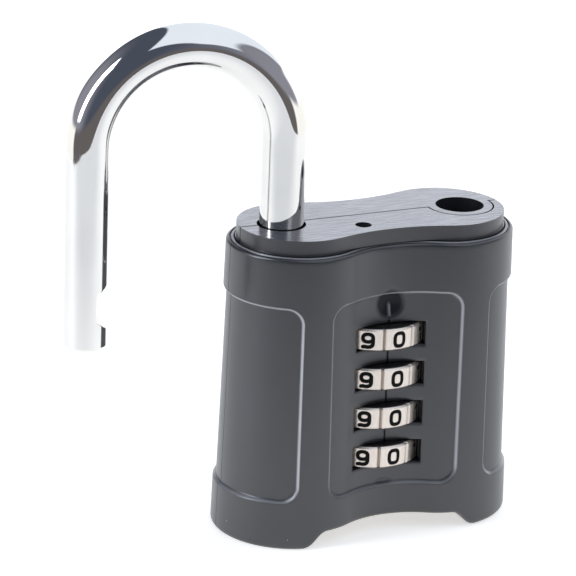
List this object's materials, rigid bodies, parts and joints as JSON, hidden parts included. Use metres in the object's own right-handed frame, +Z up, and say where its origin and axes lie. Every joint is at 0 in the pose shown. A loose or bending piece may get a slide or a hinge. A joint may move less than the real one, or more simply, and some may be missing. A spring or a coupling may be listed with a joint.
{
  "type": "padlock",
  "caption": "Combination padlock with numbered dials in a waisted black body, its round chrome shackle lowered and swung open.",
  "frame": {"origin": "in the top face of the body, midway between the axes of the two shackle holes", "axes": "+Z up out of the top face along the shackle holes; +X from the heel hole to the toe hole; +Y from the dials to the back"},
  "size_m": [0.0861, 0.0284, 0.0959],
  "materials": {
    "black_paint": "satin black paint on die-cast metal",
    "chrome_plate": "polished chrome plate",
    "satin_nickel": "warm satin nickel",
    "plain_steel": "plain zinc-plated steel",
    "brass": "machined brass"
  },
  "bodies": {
    "case": {"case_front": "black_paint", "case_back": "black_paint", "jacket_front": "black_paint", "jacket_back": "black_paint", "heel_pin": "plain_steel", "detent_plate": "plain_steel", "spindle_spring": "plain_steel", "case_screw_1": "plain_steel", "case_screw_2": "plain_steel", "case_screw_3": "plain_steel", "case_screw_4": "plain_steel"},
    "follower": {"shackle_follower": "plain_steel"},
    "washer": {"thrust_washer": "plain_steel"},
    "shackle": {"shackle": "chrome_plate"},
    "dial_1": {"dial_1": "satin_nickel", "clutch_1": "brass"},
    "dial_2": {"dial_2": "satin_nickel", "clutch_2": "brass"},
    "dial_3": {"dial_3": "satin_nickel", "clutch_3": "brass"},
    "dial_4": {"dial_4": "satin_nickel", "clutch_4": "brass"},
    "spindle": {"spindle": "plain_steel"},
    "bolt": {"locking_bolt": "plain_steel", "bolt_spring": "plain_steel"},
    "reset": {"reset_pin": "plain_steel"}
  },
  "joints": [
    {"name": "shackle_lift", "type": "slide", "parent": "case", "child": "follower", "axis": [0, 0, 1], "range_m": [0, 0.022]},
    {"name": "shackle_swing_lower", "type": "hinge", "parent": "follower", "child": "washer", "pos_m": [-0.0179, 0, 0], "axis": [0, 0, 1], "range_deg": [-86.5, 60]},
    {"name": "shackle_swing_upper", "type": "hinge", "parent": "washer", "child": "shackle", "pos_m": [-0.0179, 0, 0], "axis": [0, 0, 1], "range_deg": [-86.5, 60]},
    {"name": "dial_1_turn", "type": "hinge", "parent": "case", "child": "dial_1", "pos_m": [0, -0.0026, -0.0201], "axis": [0, 0, 1], "continuous": true},
    {"name": "dial_2_turn", "type": "hinge", "parent": "case", "child": "dial_2", "pos_m": [0, -0.0026, -0.02768], "axis": [0, 0, 1], "continuous": true},
    {"name": "dial_3_turn", "type": "hinge", "parent": "case", "child": "dial_3", "pos_m": [0, -0.0026, -0.03526], "axis": [0, 0, 1], "continuous": true},
    {"name": "dial_4_turn", "type": "hinge", "parent": "case", "child": "dial_4", "pos_m": [0, -0.0026, -0.04284], "axis": [0, 0, 1], "continuous": true},
    {"name": "bolt_slide", "type": "slide", "parent": "case", "child": "bolt", "axis": [1, 0, 0], "range_m": [-0.0029, 0], "stiffness_N_per_m": 300, "springref_m": 0.003},
    {"name": "reset_press", "type": "slide", "parent": "case", "child": "reset", "axis": [0, 0, -1], "range_m": [0, 0.001], "stiffness_N_per_m": 400, "springref_m": -0.002},
    {"name": "spindle_slide", "type": "slide", "parent": "case", "child": "spindle", "axis": [0, 0, -1], "range_m": [0, 0.001], "deforming": ["spindle_spring"]}
  ],
  "couplings": [
    {"joint": "spindle_slide", "follows": "reset_press", "ratio": 1}
  ]
}
